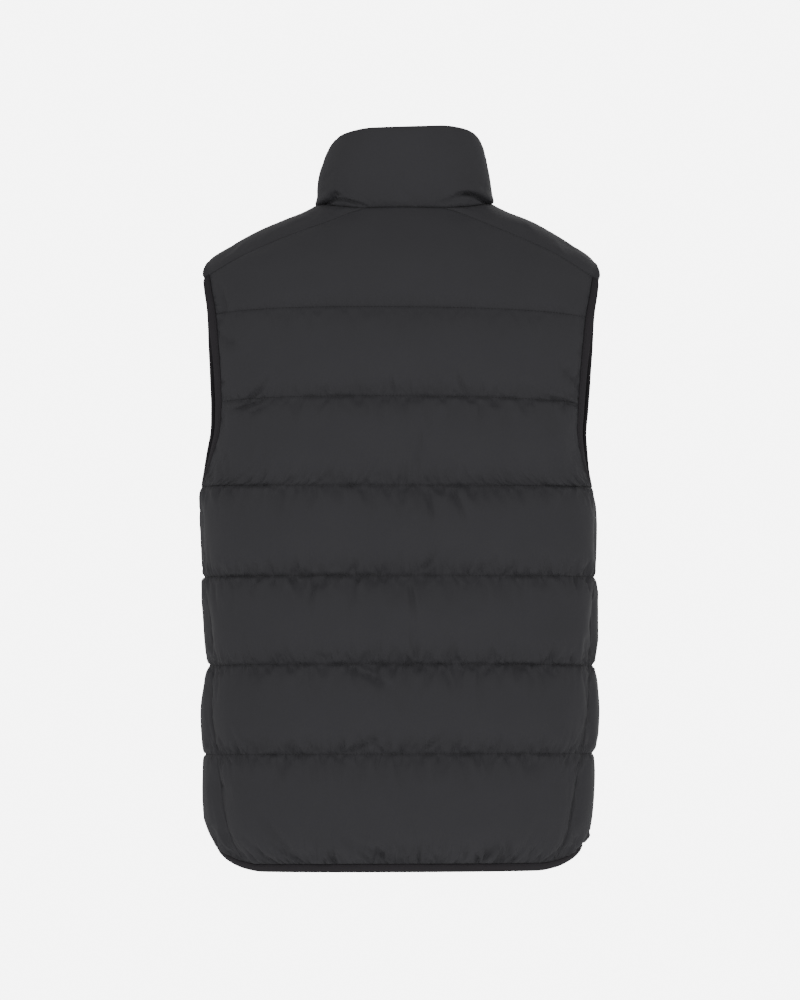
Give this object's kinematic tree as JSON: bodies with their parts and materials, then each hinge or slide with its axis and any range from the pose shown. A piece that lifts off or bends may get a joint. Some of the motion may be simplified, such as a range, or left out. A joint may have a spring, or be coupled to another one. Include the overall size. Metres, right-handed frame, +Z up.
{
  "type": "quilted puffer vest",
  "caption": "Sleeveless quilted jacket with a stand-up collar, plain shoulder yokes, bound armholes and hem, and a closed front zip, filled out as worn.",
  "frame": {"origin": "middle of the neck opening, level with the collar seam at the centre back, between the shoulders that hold the vest up", "axes": "+Z up, +Y towards the zipped front, +X towards the right-hand side of someone looking at the back"},
  "size_m": [0.4195, 0.2669, 0.7801],
  "materials": {
    "shell": "soft matt woven nylon over padding, dark charcoal",
    "binding": "elastic knitted binding, near black",
    "zip_tape": "woven zip tape, near black",
    "zip_teeth": "moulded teeth, black",
    "zip_metal": "satin dark paint over cast zinc"
  },
  "bodies": {
    "vest": {"back_panel": "shell", "front_panel_right": "shell", "front_panel_left": "shell", "yoke_right": "shell", "yoke_left": "shell", "collar": "shell", "armhole_binding_right": "binding", "armhole_binding_left": "binding", "hem_binding": "binding", "zip_tape_right": "zip_tape", "zip_tape_left": "zip_tape", "zip_chain": "zip_teeth", "zip_box": "zip_metal", "zip_stop_right": "zip_metal", "zip_stop_left": "zip_metal", "zip_slider": "zip_metal"},
    "zip_pull": {"zip_pull": "zip_metal"}
  },
  "joints": [
    {"name": "zip_pull_hinge", "type": "hinge", "parent": "vest", "child": "zip_pull", "pos_m": [0.00419, 0.07442, 0.01426], "axis": [1, 0, 0], "range_deg": [0, 160]}
  ]
}
